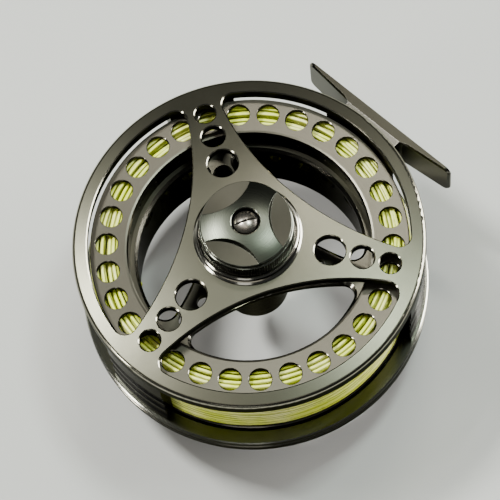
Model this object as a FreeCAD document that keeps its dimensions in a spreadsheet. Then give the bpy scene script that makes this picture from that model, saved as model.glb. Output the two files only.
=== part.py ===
import FreeCAD, Part
import Sketcher
import math
import os

# Large-arbor fly reel with a rear disc drag.
# Frame of the part: +Z along the spool axis towards the drag knob, +Y along the
# outward normal of the foot's seat face, +X along the foot (the rod's direction).
# The origin is the centre of the foot's flat seat face.
# Inside a piece, z = 0 is the outer top edge of the back plate and x = y = 0 is
# the spool axis; each piece's Placement carries it to the part's frame.

V = FreeCAD.Vector
doc = FreeCAD.newDocument("fly_reel")
sheet = doc.addObject("Spreadsheet::Sheet", "Dims")

ROWS = [
    # placement of the spool axis from the foot seat
    ("axis_drop", 58.8), ("axis_lift", 15.75),
    # back plate
    ("plate_rad", 52.5), ("plate_dome", 4.05), ("plate_skin", 2.8), ("edge_depth", 4.62),
    ("edge_round", 1.2), ("window_rad", 48.0), ("window_centre", 101.85), ("window_arc", 82.95),
    ("window_fillet", 3.7), ("lip_rad", 48.45), ("hub_flat_rad", 17.0), ("hub_flat_level", 0.0),
    ("fine_chamfer", 0.32), ("arm_hole_one", 4.62), ("arm_hole_two", 3.57), ("arm_hole_three", 3.2),
    ("arm_pos_one", 24.7), ("arm_pos_two", 34.4), ("arm_pos_three", 42.7),
    # front ring, pillars, bridge
    ("ring_inner", 48.7), ("ring_outer", 53.1), ("ring_back", 32.0), ("ring_front", 34.4),
    ("pillar_inner", 48.5), ("pillar_outer", 52.1), ("pillar_angle", 24.0), ("rib_depth", 0.7),
    ("bridge_angle", 27.0),
    # foot
    ("foot_half", 28.35), ("foot_width", 14.0), ("foot_root", 3.0), ("foot_shoulder", 2.7),
    ("foot_tip", 1.0), ("pedestal_half", 10.2), ("foot_corner", 2.4),
    # spindle and drag
    ("spindle_rad", 3.5), ("pin_circle", 6.0), ("pin_rad", 1.1), ("thrust_rad", 8.0),
    ("cup_outer", 13.4), ("cup_inner", 12.2), ("cup_depth", 9.6), ("cup_floor", 1.6),
    # knob
    ("knob_top", 14.5), ("knob_top_rad", 13.45), ("knob_rad", 13.85), ("knurl_depth", 0.32),
    ("knurl_count", 110), ("scallop_arc", 16.44), ("scallop_centre", 22.82), ("scallop_depth", 2.15),
    ("scallop_draft", 20.5), ("knob_dome", 43.8), ("bezel_outer", 16.1), ("bezel_inner", 13.0),
    # spool
    ("flange_rad", 47.57), ("flange_back", 3.85), ("flange_thick", 1.3), ("collar_inner", 36.2),
    ("drum_outer", 38.2), ("drum_inner", 35.4), ("ledge_inner", 34.0), ("ledge_back", 11.2),
    ("ledge_front", 12.6), ("flange_hole", 3.36), ("flange_hole_pos", 42.64), ("flange_hole_count", 30),
    ("flange_hole_phase", 4.65), ("drum_hole", 2.62), ("drum_hole_level", 19.9), ("small_hole", 0.85),
    ("small_hole_level", 7.1), ("drum_hole_count", 24), ("front_inner", 31.5), ("shoulder_rad", 48.1),
    ("rim_back", 34.9), ("rim_front", 38.6), ("face_level", 35.2), ("web_thick", 2.6), ("web_window_rad", 34.0),
    ("web_window_centre", 84.0), ("web_window_arc", 69.8), ("web_fillet", 3.4), ("hub_bore", 10.4),
    ("face_hole_count", 12),
    # line
    ("line_outer", 47.2), ("line_inner", 40.2), ("knot_azimuth", 234.0), ("knot_level", 16.5), ("knob_azimuth", 48.0), ("slot_azimuth", 60.0), ("drum_hole_phase", 1.2), ("small_hole_phase", 3.7), ("line_back", 5.4), ("line_front", 31.25),
    # handle
    ("handle_pos", 42.5), ("handle_azimuth", 150.0), ("grip_len", 21.0),
    ("post_rad", 2.2), ("grip_bore", 2.26),
    # click
    ("ratchet_rad", 14.6), ("ratchet_count", 36), ("pawl_pos", 15.8), ("pawl_side", 8.2),
]

for i, (name, value) in enumerate(ROWS):
    sheet.set("A%d" % (i + 1), name)
    sheet.set("B%d" % (i + 1), repr(value))
    sheet.setAlias("B%d" % (i + 1), name)
doc.recompute()


class D:
    """A size: its number and the sheet expression that gives it."""

    def __init__(self, v, e=None):
        self.v = float(v)
        self.e = e if e is not None else ("%.6f" % v if v >= 0 else "(%.6f)" % v)

    def _w(self, o):
        return o if isinstance(o, D) else D(o)

    def __add__(self, o):
        o = self._w(o)
        return D(self.v + o.v, "(%s + %s)" % (self.e, o.e))

    __radd__ = __add__

    def __sub__(self, o):
        o = self._w(o)
        return D(self.v - o.v, "(%s - %s)" % (self.e, o.e))

    def __rsub__(self, o):
        return self._w(o) - self

    def __mul__(self, o):
        o = self._w(o)
        return D(self.v * o.v, "(%s * %s)" % (self.e, o.e))

    __rmul__ = __mul__

    def __truediv__(self, o):
        o = self._w(o)
        return D(self.v / o.v, "(%s / %s)" % (self.e, o.e))

    def __neg__(self):
        return D(-self.v, "(0 - %s)" % self.e)

    def root(self):
        return D(math.sqrt(self.v), "sqrt(%s)" % self.e)


class Sizes:
    pass


Q = Sizes()
for name, value in ROWS:
    setattr(Q, name, D(value, "Dims." + name))


def num(a):
    return a.v if isinstance(a, D) else float(a)


def bind(obj, prop, a):
    if isinstance(a, D):
        obj.setExpression(prop, a.e)


def sphere_drop(rad, arc):
    """How far a spherical face of radius arc has fallen at distance rad from the axis."""
    return arc - (arc * arc - rad * rad).root()


def plane(body, role):
    for f in body.Origin.OriginFeatures:
        if f.Role == role:
            return f
    raise RuntimeError("no plane " + role)


def sketch_on(body, role, level=None, turn=None):
    sk = body.newObject("Sketcher::SketchObject", body.Name + "_sketch")
    sk.AttachmentSupport = [(plane(body, role), "")]
    sk.MapMode = "FlatFace"
    if turn is not None:
        # an upright sketch turned about the spool axis
        sk.AttachmentOffset = FreeCAD.Placement(V(0, 0, 0), FreeCAD.Rotation(V(0, 1, 0), num(turn)))
        bind(sk, ".AttachmentOffset.Rotation.Angle", turn)
    if level is not None:
        sk.AttachmentOffset = FreeCAD.Placement(V(0, 0, num(level)), FreeCAD.Rotation())
        bind(sk, ".AttachmentOffset.Base.z", level)
    return sk


def fix_point(sk, geo, pos, x, y):
    for kind, axis, val in (("DistanceX", -2, x), ("DistanceY", -1, y)):
        if abs(num(val)) < 1e-9:
            sk.addConstraint(Sketcher.Constraint("PointOnObject", geo, pos, axis))
        else:
            n = sk.addConstraint(Sketcher.Constraint(kind, -1, 1, geo, pos, num(val)))
            bind(sk, "Constraints[%d]" % n, val)


def outline(sk, pts):
    """Closed outline. Each entry is (x, y) or (x, y, radius, side): with a radius,
    the stretch to the next point is an arc of that radius, whose centre lies to
    the left (side 1) or right (side -1) of the way to the next point."""
    S = Sketcher
    n = len(pts)
    ends = []
    for i in range(n):
        p, q = pts[i], pts[(i + 1) % n]
        a, b = V(num(p[0]), num(p[1]), 0), V(num(q[0]), num(q[1]), 0)
        if len(p) == 2:
            g = sk.addGeometry(Part.LineSegment(a, b), False)
            ends.append((g, 1, 2))
        else:
            rad, side = num(p[2]), p[3]
            mid = (a + b) * 0.5
            d = b - a
            half = d.Length / 2
            left = V(-d.y, d.x, 0)
            left.normalize()
            c = mid + left * (side * math.sqrt(max(rad * rad - half * half, 0)))
            m = mid - c
            if m.Length < 1e-9:
                m = left * (-side)
            m.normalize()
            arc = Part.Arc(a, c + m * rad, b) if side == 1 else Part.Arc(b, c + m * rad, a)
            g = sk.addGeometry(arc, False)
            ends.append((g, 1, 2) if side == 1 else (g, 2, 1))
            k = sk.addConstraint(S.Constraint("Radius", g, rad))
            bind(sk, "Constraints[%d]" % k, p[2])
    for i in range(n):
        g0, _, e0 = ends[i - 1]
        g1, s1, _ = ends[i]
        sk.addConstraint(S.Constraint("Coincident", g0, e0, g1, s1))
    for i in range(n):
        g, s1, _ = ends[i]
        fix_point(sk, g, s1, pts[i][0], pts[i][1])
    return sk


def circle(sk, x, y, rad):
    S = Sketcher
    g = sk.addGeometry(Part.Circle(V(num(x), num(y), 0), V(0, 0, 1), num(rad)), False)
    k = sk.addConstraint(S.Constraint("Radius", g, num(rad)))
    bind(sk, "Constraints[%d]" % k, rad)
    fix_point(sk, g, 3, x, y)
    return g


def new_body(label):
    b = doc.addObject("PartDesign::Body", label)
    b.Label = label
    SUBPARTS.append(b)
    return b


SUBPARTS = []


def place(b, azimuth=0.0, x=0.0, y=0.0, z=0.0):
    """Puts a piece in the part's frame, turned about the spool axis; x, y and z are
    its place in the reel's own frame before that turn."""
    az = num(azimuth)
    rot = FreeCAD.Rotation(V(0, 0, 1), az)
    base = rot.multVec(V(num(x), num(y), num(z)))
    b.Placement = FreeCAD.Placement(V(base.x, base.y - Q.axis_drop.v, base.z + Q.axis_lift.v), rot)
    if abs(num(x)) < 1e-12 and abs(num(y)) < 1e-12:
        bind(b, ".Placement.Base.y", -Q.axis_drop)
        bind(b, ".Placement.Base.z", Q.axis_lift + z if num(z) else Q.axis_lift)


def spun(b, pts, angle=None, role="XZ_Plane"):
    sk = outline(sketch_on(b, role), pts)
    rev = b.newObject("PartDesign::Revolution", b.Name + "_turned")
    rev.Profile = sk
    rev.ReferenceAxis = (sk, ["V_Axis"])
    if angle is None:
        rev.Angle = 360.0
    else:
        rev.Angle = num(angle)
        bind(rev, "Angle", angle)
        rev.Midplane = True
    sk.Visibility = False
    b.Tip = rev
    doc.recompute()
    return rev


def padded(b, draw, depth, level=None, role="XY_Plane", middle=False, back=False):
    sk = sketch_on(b, role, level)
    draw(sk)
    pad = b.newObject("PartDesign::Pad", b.Name + "_pad")
    pad.Profile = sk
    pad.Length = num(depth)
    bind(pad, "Length", depth)
    pad.Midplane = middle
    pad.Reversed = back
    b.Tip = pad
    doc.recompute()
    return pad


def cut(b, draw, depth, level=None, role="XY_Plane", count=None, axis="N_Axis", middle=False, back=False, turn=None):
    before = b.Shape.Volume
    sk = sketch_on(b, role, level, turn)
    draw(sk)
    po = b.newObject("PartDesign::Pocket", b.Name + "_pocket")
    po.Profile = sk
    po.Type = 0
    po.Length = num(depth)
    bind(po, "Length", depth)
    po.Midplane = middle
    po.Reversed = back
    b.Tip = po
    doc.recompute()
    if not b.Shape.Volume < before - 1e-6:
        raise RuntimeError("a pocket in %s cuts nothing" % b.Label)
    if count is not None:
        pat = b.newObject("PartDesign::PolarPattern", b.Name + "_round")
        pat.Originals = [po]
        pat.Axis = (sk, [axis])
        pat.Angle = 360.0
        pat.Occurrences = int(num(count))
        bind(pat, "Occurrences", count)
        b.Tip = pat
        doc.recompute()
        return pat
    return po


def spin_cut(b, pts, count=None, role="XZ_Plane"):
    """A groove turned about the spool axis."""
    before = b.Shape.Volume
    sk = outline(sketch_on(b, role), pts)
    g = b.newObject("PartDesign::Groove", b.Name + "_groove")
    g.Profile = sk
    g.ReferenceAxis = (sk, ["V_Axis"])
    g.Angle = 360.0
    b.Tip = g
    doc.recompute()
    if not b.Shape.Volume < before - 1e-6:
        raise RuntimeError("a groove in %s cuts nothing" % b.Label)
    return g


def edges_where(shape, test):
    return ["Edge%d" % (i + 1) for i, e in enumerate(shape.Edges) if test(e)]


def soften(b, names, size, kind="Chamfer"):
    """Breaks the named edges; keeps the piece as it was if that can't be done."""
    if not names:
        print("no edges to soften in", b.Label)
        return None
    base = b.Tip
    f = b.newObject("PartDesign::" + kind, b.Name + "_" + kind.lower())
    f.Base = (base, names)
    prop = "Size" if kind == "Chamfer" else "Radius"
    setattr(f, prop, num(size))
    bind(f, prop, size)
    b.Tip = f
    doc.recompute()
    if "Invalid" in f.State or f.Shape.isNull() or not f.Shape.isValid() or not f.Shape.Solids:
        print("left unbroken:", b.Label, kind, len(names))
        b.removeObject(f)
        doc.removeObject(f.Name)
        b.Tip = base
        doc.recompute()
        return None
    return f


# ---------------------------------------------------------------- back plate
plate_arc = (Q.plate_rad * Q.plate_rad + Q.plate_dome * Q.plate_dome) / (2 * Q.plate_dome)


def plate_top(rad):
    return Q.plate_dome - sphere_drop(D(0) + rad, plate_arc)


def window(sk):
    """One window: inside the ring's inner wall and inside a big circle whose
    centre lies far outside the reel, so its side bulges towards the axis."""
    c, ra, rw = Q.window_centre, Q.window_arc, Q.window_rad
    # where the two circles cross
    y = (rw * rw - ra * ra + c * c) / (2 * c)
    x = (rw * rw - y * y).root()
    outline(sk, [(x, y, rw, 1), (-x, y, ra, 1)])


b = new_body("frame_back_plate")
rim_r = Q.plate_rad - Q.edge_round
spun(b, [
    (Q.spindle_rad + 0.0, Q.hub_flat_level + 0.001),
    (Q.hub_flat_rad, Q.hub_flat_level + 0.001),
    (Q.hub_flat_rad + 1.6, plate_top(Q.hub_flat_rad + 1.6) - Q.plate_skin, plate_arc, -1),
    (Q.lip_rad, plate_top(Q.lip_rad) - Q.plate_skin),
    (Q.lip_rad, -Q.edge_depth + 0.3),
    (Q.lip_rad + 0.3, -Q.edge_depth),
    (Q.plate_rad - 0.35, -Q.edge_depth),
    (Q.plate_rad, -Q.edge_depth + 0.35),
    (Q.plate_rad, -Q.edge_round + 0.19, Q.edge_round * 1.05, 1),
    (rim_r, plate_top(rim_r), plate_arc, 1),
    (Q.spindle_rad + 0.0, plate_top(Q.spindle_rad + 0.0)),
])
# three windows between three arms (arms at 30, 150 and 270 degrees)
cut(b, window, 20, level=8, count=D(3))
fil = soften(b, edges_where(b.Shape, lambda e: len(e.Vertexes) == 2 and abs(e.Vertexes[0].X - e.Vertexes[1].X) < 1e-4
             and abs(e.Vertexes[0].Y - e.Vertexes[1].Y) < 1e-4 and 44 < math.hypot(e.Vertexes[0].X, e.Vertexes[0].Y) < 48.2), Q.window_fillet, "Fillet")


def arm_holes(sk):
    # on the arm that points along -y
    circle(sk, 0, -Q.arm_pos_one, Q.arm_hole_one)
    circle(sk, 0, -Q.arm_pos_two, Q.arm_hole_two)
    circle(sk, 0, -Q.arm_pos_three, Q.arm_hole_three)


cut(b, arm_holes, 20, level=8, count=D(3))


def pin_holes(sk):
    circle(sk, 0, -Q.pin_circle, Q.pin_rad + 0.1)


cut(b, pin_holes, 20, level=8, count=D(3))
cut(b, lambda sk: [circle(sk, 14.8 * math.cos(math.radians(a)), 14.8 * math.sin(math.radians(a)), D(0.72)) for a in (90.0, 210.0, 330.0)],
    4.1, level=-2.0, back=True)
cut(b, lambda sk: circle(sk, Q.pawl_pos * math.cos(math.radians(30.0)) - Q.pawl_side * math.sin(math.radians(30.0)),
                         Q.pawl_pos * math.sin(math.radians(30.0)) + Q.pawl_side * math.cos(math.radians(30.0)), D(1.72)), 3.0, level=-2.0, back=True)


def on_top(e):
    """Edges of windows and arm holes in the plate's outer face."""
    bb = e.BoundBox
    c = bb.Center
    if len(e.Vertexes) == 0:
        return False
    ok = True
    for p in e.discretize(5):
        rr = math.hypot(p.x, p.y)
        zt = plate_top(D(rr)).v if rr < 51 else 99
        if abs(p.z - zt) > 0.02:
            ok = False
            break
    if not ok:
        return False
    r0 = [math.hypot(p.x, p.y) for p in e.discretize(5)]
    return max(r0) > 12 and not (max(r0) - min(r0) < 1e-3 and max(r0) > 50)


soften(b, edges_where(b.Shape, on_top), Q.fine_chamfer)
place(b)

# ---------------------------------------------------------------- pillars
def pillar_profile():
    """Section of a pillar: three shallow ribs on its outer face."""
    top, low = -Q.edge_depth - 0.0, -Q.ring_back + 0.0
    span = (Q.ring_back - Q.edge_depth)
    o, i, g = Q.pillar_outer, Q.pillar_inner, Q.rib_depth
    lev = lambda k: top - span * k
    pts = [(i, low), (o, low)]
    # from the bottom up: ribs between grooves
    for k in (0.86, 0.64, 0.42):
        pts += [(o, lev(k + 0.04)), (o - g, lev(k + 0.01), 3.2, 1), (o - g, lev(k - 0.10)), (o, lev(k - 0.13))]
    pts += [(o, top), (i, top)]
    return pts


for label, az in (("frame_pillar_left", 150.0), ("frame_pillar_right", 30.0), ("frame_pillar_rear", 270.0)):
    b = new_body(label)
    spun(b, pillar_profile(), Q.pillar_angle)
    cut(b, lambda sk: [circle(sk, 50.3 * math.cos(math.radians(a)), 50.3 * math.sin(math.radians(a)), D(0.82)) for a in (-6.0, 6.0)],
        4.0, level=-Q.ring_back - 0.2, back=True)
    place(b, az)

# ---------------------------------------------------------------- foot bridge
b = new_body("foot_bridge")
spun(b, [
    (Q.pillar_inner, -Q.ring_back), (Q.pillar_outer, -Q.ring_back),
    (Q.pillar_outer, -Q.edge_depth), (Q.pillar_inner, -Q.edge_depth),
], Q.bridge_angle)
cut(b, lambda sk: [circle(sk, 50.3 * math.cos(math.radians(a)), 50.3 * math.sin(math.radians(a)), D(0.82)) for a in (-8.0, 8.0)],
    4.0, level=-Q.ring_back - 0.2, back=True)
# the raised seat that carries the foot (local +x points outwards at the foot)
half_w = Q.foot_width / 2
seat_y = Q.axis_drop - Q.foot_root


def pedestal(sk):
    p = Q.pedestal_half
    outline(sk, [(Q.pillar_inner + 1.0, -p), (seat_y, -p), (seat_y, p), (Q.pillar_inner + 1.0, p)])


padded(b, pedestal, Q.foot_width, level=-Q.axis_lift, middle=True)


cut(b, lambda sk: (circle(sk, 6.2, -Q.axis_lift, 1.25), circle(sk, -6.2, -Q.axis_lift, 1.25)), 5.2,
    level=seat_y, role="YZ_Plane")
place(b, 90.0)

# ---------------------------------------------------------------- front ring
b = new_body("frame_front_ring")
ch = 0.35
spun(b, [
    (Q.ring_inner, -Q.ring_front + ch), (Q.ring_inner + ch, -Q.ring_front), (Q.ring_outer - ch, -Q.ring_front),
    (Q.ring_outer, -Q.ring_front + ch), (Q.ring_outer, -Q.ring_back - ch), (Q.ring_outer - ch, -Q.ring_back),
    (Q.ring_inner + ch, -Q.ring_back), (Q.ring_inner, -Q.ring_back - ch),
])


def ring_screw_holes(rad):
    def draw(sk):
        for a in (24.0, 36.0, 144.0, 156.0, 264.0, 276.0, 82.0, 98.0):
            c, s = math.cos(math.radians(a)), math.sin(math.radians(a))
            circle(sk, 50.3 * c, 50.3 * s, rad)
    return draw


cut(b, ring_screw_holes(D(0.9)), 6, level=-Q.ring_back + 2)
cut(b, ring_screw_holes(D(1.4)), 3.0, level=-36.38, back=True)
place(b)

# ---------------------------------------------------------------- foot
b = new_body("reel_foot")
sh = Q.axis_drop


def foot_side(sk):
    """Side view of the foot: flat seat, root pad and two thinning blades."""
    p, L = Q.pedestal_half, Q.foot_half
    outline(sk, [
        (-L, 0.0), (-L, -Q.foot_tip), (-p - 0.8, -Q.foot_shoulder), (-p, -Q.foot_root),
        (p, -Q.foot_root), (p + 0.8, -Q.foot_shoulder), (L, -Q.foot_tip), (L, 0.0)])


# drawn on the plane that the seat's normal and length span
padded(b, foot_side, Q.foot_width, role="XZ_Plane", middle=True)
cut(b, lambda sk: (circle(sk, 6.2, 0, 1.5), circle(sk, -6.2, 0, 1.5)), 6, level=1, role="XY_Plane")
cut(b, lambda sk: (circle(sk, 6.2, 0, 2.6), circle(sk, -6.2, 0, 2.6)), 1.9, level=0.5, role="XY_Plane")
soften(b, edges_where(b.Shape, lambda e: len(e.Vertexes) == 2 and abs(abs(e.Vertexes[0].X) - Q.foot_half.v) < 1e-3
       and abs(e.Vertexes[1].X - e.Vertexes[0].X) < 1e-3 and abs(e.Vertexes[0].Y - e.Vertexes[1].Y) < 1e-4), Q.foot_corner, "Fillet")


def under_edge(e):
    """Long lower edges of the two blades."""
    p = e.discretize(3)
    return all(abs(abs(q.y) - Q.foot_width.v / 2) < 1e-3 and abs(q.x) > 10.9 and q.z < -0.5 for q in p) and abs(p[0].x - p[-1].x) > 10


soften(b, edges_where(b.Shape, under_edge), 0.5)
# local z is the seat's normal: it goes to +Y, local x stays, local y goes to -Z
b.Placement = FreeCAD.Placement(V(0, 0, 0), FreeCAD.Rotation(V(1, 0, 0), -90))

# ---------------------------------------------------------------- spindle
b = new_body("spindle")
spun(b, [
    (0, -35.4), (2.6, -35.4), (3.0, -35.0), (3.0, -34.4), (2.4, -34.2), (2.4, -33.5), (3.0, -33.3),
    (3.0, -33.1), (Q.spindle_rad, -32.6), (Q.spindle_rad, 8.2), (Q.spindle_rad - 0.4, 8.6), (1.3, 8.6), (1.3, 2.0), (0, 1.2),
])
place(b)

# ---------------------------------------------------------------- drag housing
b = new_body("drag_housing")
floor_z = -Q.cup_depth
spun(b, [
    (6.5, floor_z), (Q.cup_outer - 0.6, floor_z), (Q.cup_outer, floor_z + 0.6), (Q.cup_outer, -2.0),
    (15.9, -2.0), (15.9, 0.0), (Q.cup_inner, 0.0), (Q.cup_inner, floor_z + Q.cup_floor), (6.5, floor_z + Q.cup_floor),
])


def cup_screw_holes(sk):
    for a in (90.0, 210.0, 330.0):
        circle(sk, 14.8 * math.cos(math.radians(a)), 14.8 * math.sin(math.radians(a)), 0.75)


cut(b, cup_screw_holes, 6, level=2)
place(b)

# ---------------------------------------------------------------- drag stack
def washer(label, r_in, r_out, z_top, z_low, key_out=None, key_in=None, edge=0.1):
    """Flat disc of the drag stack."""
    bb = new_body(label)
    spun(bb, [(r_in, z_low), (r_out - edge, z_low), (r_out, z_low + edge), (r_out, z_top - edge), (r_out - edge, z_top), (r_in, z_top)])
    place(bb)
    return bb


washer("pressure_washer", D(6.7), Q.cup_inner - 0.3, D(-1.0), D(-2.0))
b = new_body("spring_washers")
# two coned washers set back to back
spun(b, [(7.4, -2.0), (8.2, -2.0), (11.4, -2.7), (11.4, -3.3), (8.2, -4.0), (7.4, -4.0), (7.4, -3.5), (10.0, -3.0), (7.4, -2.5)])
place(b)
washer("drag_plate", D(6.7), Q.cup_inner - 0.1, D(-4.0), D(-4.8))
washer("friction_disc_upper", D(6.7), Q.cup_inner - 0.1, D(-4.83), D(-5.75))
washer("drag_rotor", D(6.22), Q.cup_inner - 0.3, D(-5.8), D(-6.9))
washer("friction_disc_lower", D(6.7), Q.cup_inner - 0.1, D(-6.95), D(-7.97))

b = new_body("drive_sleeve")
spun(b, [(Q.spindle_rad + 0.05, -22.0), (5.9, -22.0), (6.2, -21.7), (6.2, -2.6), (5.9, -2.3), (Q.spindle_rad + 0.05, -2.3)])
place(b)

# ---------------------------------------------------------------- thrust ring with its push pins
b = new_body("thrust_ring")
spun(b, [(4.0, 5.2), (Q.thrust_rad - 0.2, 5.2), (Q.thrust_rad, 5.4), (Q.thrust_rad, 7.8), (Q.thrust_rad - 0.2, 8.0), (4.0, 8.0)])


def three_pins(sk):
    for a in (30.0, 150.0, 270.0):
        circle(sk, Q.pin_circle * math.cos(math.radians(a)), Q.pin_circle * math.sin(math.radians(a)), Q.pin_rad)


padded(b, three_pins, 6.7, level=-1.0)
place(b)

# ---------------------------------------------------------------- bezel, seal
b = new_body("drag_bezel")
zb = plate_top(Q.bezel_outer)
spun(b, [
    (Q.bezel_inner, 5.05), (Q.bezel_inner, plate_top(Q.bezel_inner) + 0.02, plate_arc, -1),
    (Q.bezel_outer, zb + 0.02), (Q.bezel_outer, 4.15), (Q.bezel_outer - 0.5, 4.65), (15.3, 4.75),
    (15.3, 6.0), (14.95, 6.35), (14.6, 6.35), (14.35, 6.1), (14.35, 5.05),
])
place(b)

b = new_body("knob_seal")
S_ = 0.75
spun(b, [(9.3, 4.5), (9.3, 4.02), (9.55, 3.98), (11.2, 3.94), (11.45, 4.02), (11.45, 4.5), (11.2, 4.75), (9.55, 4.75)])
place(b)

# ---------------------------------------------------------------- knob
b = new_body("drag_knob")
top_arc = Q.knob_dome


def knob_face(rad):
    return Q.knob_top - sphere_drop(D(0) + rad, top_arc)


spun(b, [
    (Q.thrust_rad + 0.08, 5.3), (Q.knob_rad - 0.3, 5.3), (Q.knob_rad, 5.6), (Q.knob_rad, 10.5), (Q.knob_rad - 0.25, 10.75),
    (Q.knob_top_rad, 10.75), (Q.knob_top_rad, knob_face(Q.knob_top_rad - 0.22) - 0.22),
    (Q.knob_top_rad - 0.22, knob_face(Q.knob_top_rad - 0.22), top_arc, 1),
    (4.45, knob_face(D(4.45))), (4.22, knob_face(D(4.45)) - 0.2), (4.22, 11.6), (1.75, 11.6), (1.75, 9.0), (Q.thrust_rad + 0.08, 9.0)])


def scallops(body):
    """Three hollows with flat floors and drafted walls, each turned about its own
    upright axis outside the knob."""
    before = body.Shape.Volume
    sk = sketch_on(body, "XZ_Plane")
    cx, floor, top = Q.scallop_centre, Q.knob_top - Q.scallop_depth, Q.knob_top + 0.5
    wall = (Q.scallop_depth + 0.5) * math.tan(math.radians(Q.scallop_draft.v))
    n = sk.addGeometry(Part.LineSegment(V(cx.v, 0, 0), V(cx.v, 20, 0)), True)
    fix_point(sk, n, 1, cx, 0)
    fix_point(sk, n, 2, cx, 20)
    outline(sk, [(cx, floor), (cx, top), (cx - Q.scallop_arc, top), (cx - Q.scallop_arc + wall, floor)])
    g = body.newObject("PartDesign::Groove", body.Name + "_hollow")
    g.Profile = sk
    g.ReferenceAxis = (sk, ["Axis0"])
    g.Angle = 360.0
    body.Tip = g
    doc.recompute()
    if not body.Shape.Volume < before - 1e-6:
        raise RuntimeError("the hollows cut nothing")
    pat = body.newObject("PartDesign::PolarPattern", body.Name + "_hollows")
    pat.Originals = [g]
    pat.Axis = (body.Origin.OriginFeatures[2], [""])
    pat.Angle = 360.0
    pat.Occurrences = 3
    body.Tip = pat
    doc.recompute()


scallops(b)
soften(b, edges_where(b.Shape, lambda e: len(e.Vertexes) == 2 and abs(min(p.z for p in e.discretize(5)) - knob_face(D(max(math.hypot(p.x, p.y) for p in e.discretize(5)))).v) < 0.05
       and min(math.hypot(p.x, p.y) for p in e.discretize(5)) < 8.0 and max(math.hypot(p.x, p.y) for p in e.discretize(5)) > 11), 0.08)


def knurl(sk):
    outline(sk, [(Q.knob_rad - Q.knurl_depth, 0), (Q.knob_rad + 0.3, -0.62), (Q.knob_rad + 0.3, 0.62)])


cut(b, knurl, 4.5, level=10.4, count=Q.knurl_count)
place(b, Q.knob_azimuth)

b = new_body("knob_screw")
spun(b, [(0, 9.2 - 6.0), (1.25, 9.2 - 6.0), (1.25, 8.65), (1.65, 8.65), (1.65, 11.7), (3.45, 11.7), (3.55, 11.85), (3.55, 13.4, 5.85, 1), (0, 14.6)])
cut(b, lambda sk: outline(sk, [(-5, -0.33), (5, -0.33), (5, 0.33), (-5, 0.33)]), 1.6, level=D(14.9))
place(b, Q.slot_azimuth)

# ---------------------------------------------------------------- spool: rear flange
b = new_body("spool_rear_flange")
fb, ft = -Q.flange_back, -Q.flange_back - Q.flange_thick
spun(b, [
    (Q.collar_inner, -Q.ledge_back + 0.05), (Q.drum_outer, -Q.ledge_back + 0.05), (Q.drum_outer, ft - 0.4), (Q.drum_outer + 0.4, ft),
    (Q.flange_rad - 0.25, ft), (Q.flange_rad, ft + 0.25), (Q.flange_rad, fb - 0.25), (Q.flange_rad - 0.25, fb),
    (Q.collar_inner + 1.0, fb), (Q.collar_inner + 0.45, fb - 0.15), (Q.collar_inner, fb - 0.9),
])


def flange_hole(sk):
    a = math.radians(Q.flange_hole_phase.v)
    circle(sk, Q.flange_hole_pos * math.cos(a), Q.flange_hole_pos * math.sin(a), Q.flange_hole)


cut(b, flange_hole, 4, level=fb + 1.0, count=Q.flange_hole_count)
soften(b, edges_where(b.Shape, lambda e: len(e.Vertexes) == 1 and abs(e.BoundBox.ZMax - fb.v) < 1e-3 and abs(e.BoundBox.ZMin - fb.v) < 1e-3
       and e.BoundBox.XLength < 8), 0.18)


def small_hole(sk):
    circle(sk, 0, -Q.small_hole_level, Q.small_hole)


cut(b, small_hole, 45, role="YZ_Plane", count=Q.drum_hole_count, axis="V_Axis", back=True, turn=Q.small_hole_phase)
place(b)

# ---------------------------------------------------------------- spool: web, drum, front flange, palming rim
b = new_body("spool_body")
spun(b, [
    (Q.hub_bore, -Q.ledge_back - Q.web_thick - 1.4), (Q.hub_bore + 2.2, -Q.ledge_back - Q.web_thick - 1.4),
    (Q.hub_bore + 3.0, -Q.ledge_back - Q.web_thick),
    (Q.drum_inner - 1.4, -Q.ledge_back - Q.web_thick), (Q.drum_inner, -Q.ledge_back - Q.web_thick - 1.4),
    (Q.drum_inner, -Q.face_level + 0.3), (Q.drum_inner + 0.3, -Q.face_level),
    (47.1, -Q.face_level), (47.8, -Q.face_level - 0.5), (49.0, -Q.rim_front + 0.4), (49.6, -Q.rim_front),
    (Q.ring_outer - 1.2, -Q.rim_front, 1.3, 1), (Q.ring_outer, -Q.rim_front + 1.2),
    (Q.ring_outer, -Q.rim_back - 0.4), (Q.ring_outer - 0.4, -Q.rim_back), (Q.shoulder_rad, -Q.rim_back),
    (Q.shoulder_rad, -Q.front_inner - 0.3), (Q.shoulder_rad - 0.3, -Q.front_inner), (Q.drum_outer, -Q.front_inner),
    (Q.drum_outer, -Q.ledge_back), (Q.hub_bore, -Q.ledge_back),
])


def spool_window(sk):
    c, ra, rw = Q.web_window_centre, Q.web_window_arc, Q.web_window_rad
    y = (rw * rw - ra * ra + c * c) / (2 * c)
    x = (rw * rw - y * y).root()
    outline(sk, [(x, y, rw, 1), (-x, y, ra, 1)])


cut(b, spool_window, 8, level=-Q.ledge_back + 2.0, count=D(3))
soften(b, edges_where(b.Shape, lambda e: len(e.Vertexes) == 2 and abs(e.Vertexes[0].X - e.Vertexes[1].X) < 1e-4
       and abs(e.Vertexes[0].Y - e.Vertexes[1].Y) < 1e-4 and 33.9 < math.hypot(e.Vertexes[0].X, e.Vertexes[0].Y) < 34.1
       and e.Vertexes[0].Z > -20), Q.web_fillet, "Fillet")
soften(b, edges_where(b.Shape, lambda e: all(abs(q.z + Q.ledge_back.v) < 1e-3 and 12 < math.hypot(q.x, q.y) < 34.3 for q in e.discretize(5))), 0.9)


def spool_arm_holes(sk):
    circle(sk, 0, -20.5, 2.3)
    circle(sk, 0, -27.6, 3.0)


cut(b, spool_arm_holes, 8, level=-Q.ledge_back + 2.0, count=D(3))


def drum_hole(sk):
    circle(sk, 0, -Q.drum_hole_level, Q.drum_hole)


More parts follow.
